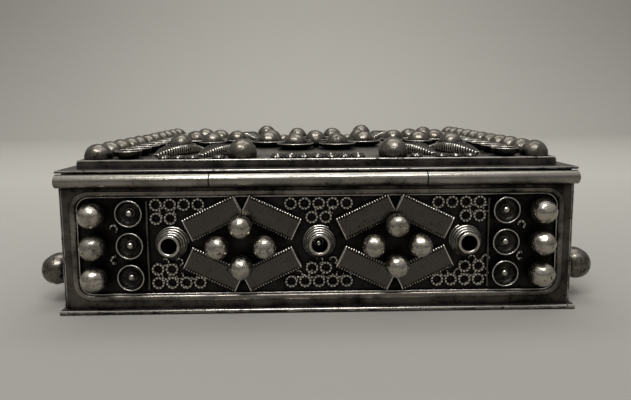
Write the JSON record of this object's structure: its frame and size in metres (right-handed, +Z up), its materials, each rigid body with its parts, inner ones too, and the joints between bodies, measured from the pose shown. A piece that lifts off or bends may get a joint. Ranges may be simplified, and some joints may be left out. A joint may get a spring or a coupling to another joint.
{
  "type": "hinged silver amulet box",
  "caption": "Rectangular silver amulet box with a hinged lid, its walls and lid covered in balls, small cups, wound-wire strips and cones, and filigree rings.",
  "frame": {"origin": "middle of the underside of the base plate", "axes": "+X along the length, -Y to the hinge side, +Z up"},
  "size_m": [0.1386, 0.0956, 0.0411],
  "materials": {
    "patina_sheet": "dark oxidised silver with worn edges",
    "polished_balls": "worn bright silver",
    "silver_wire": "oxidised silver wire, bright on top",
    "hinge_silver": "bright silver tube",
    "cup_silver": "dark silver with bright rims"
  },
  "bodies": {
    "box": {"base_plate": "patina_sheet", "hinge_wall": "patina_sheet", "front_wall": "patina_sheet", "left_wall": "patina_sheet", "right_wall": "patina_sheet", "hinge_wall_frame": "patina_sheet", "hinge_wall_bead": "silver_wire", "front_wall_frame": "patina_sheet", "front_wall_bead": "silver_wire", "left_wall_frame": "patina_sheet", "left_wall_bead": "silver_wire", "right_wall_frame": "patina_sheet", "right_wall_bead": "silver_wire", "hinge_knuckle_left": "hinge_silver", "hinge_knuckle_right": "hinge_silver", "hinge_pin": "hinge_silver", "hinge_wall_balls": "polished_balls", "hinge_wall_cups": "cup_silver", "hinge_wall_grains": "silver_wire", "hinge_wall_cones": "silver_wire", "hinge_wall_strips": "silver_wire", "hinge_wall_diamond_balls": "polished_balls", "hinge_wall_ball_seats": "cup_silver", "hinge_wall_filigree": "silver_wire", "front_wall_balls": "polished_balls", "front_wall_cups": "cup_silver", "front_wall_grains": "silver_wire", "front_wall_cones": "silver_wire", "front_wall_strips": "silver_wire", "front_wall_diamond_balls": "polished_balls", "front_wall_ball_seats": "cup_silver", "front_wall_filigree": "silver_wire", "end_wall_cups": "cup_silver", "end_wall_grains": "silver_wire", "end_wall_cones": "silver_wire", "end_wall_strips": "silver_wire", "end_wall_diamond_balls": "polished_balls", "end_wall_ball_seats": "cup_silver", "end_wall_filigree": "silver_wire", "corner_balls": "polished_balls", "corner_ball_seats": "cup_silver"},
    "lid": {"lid_flange": "patina_sheet", "lid_top_plate": "patina_sheet", "lid_step_band": "patina_sheet", "lid_inner_rim": "patina_sheet", "lid_knuckle": "hinge_silver", "lid_domes": "polished_balls", "lid_cups": "cup_silver", "lid_grains": "silver_wire", "lid_edge_balls": "polished_balls", "lid_strips": "silver_wire", "lid_bowls": "cup_silver", "lid_bowl_balls": "polished_balls", "lid_small_balls": "polished_balls", "lid_filigree": "silver_wire"}
  },
  "joints": [
    {"name": "lid_hinge", "type": "hinge", "parent": "box", "child": "lid", "pos_m": [0, -0.0428, 0.032], "axis": [1, 0, 0], "range_deg": [0, 105]}
  ]
}
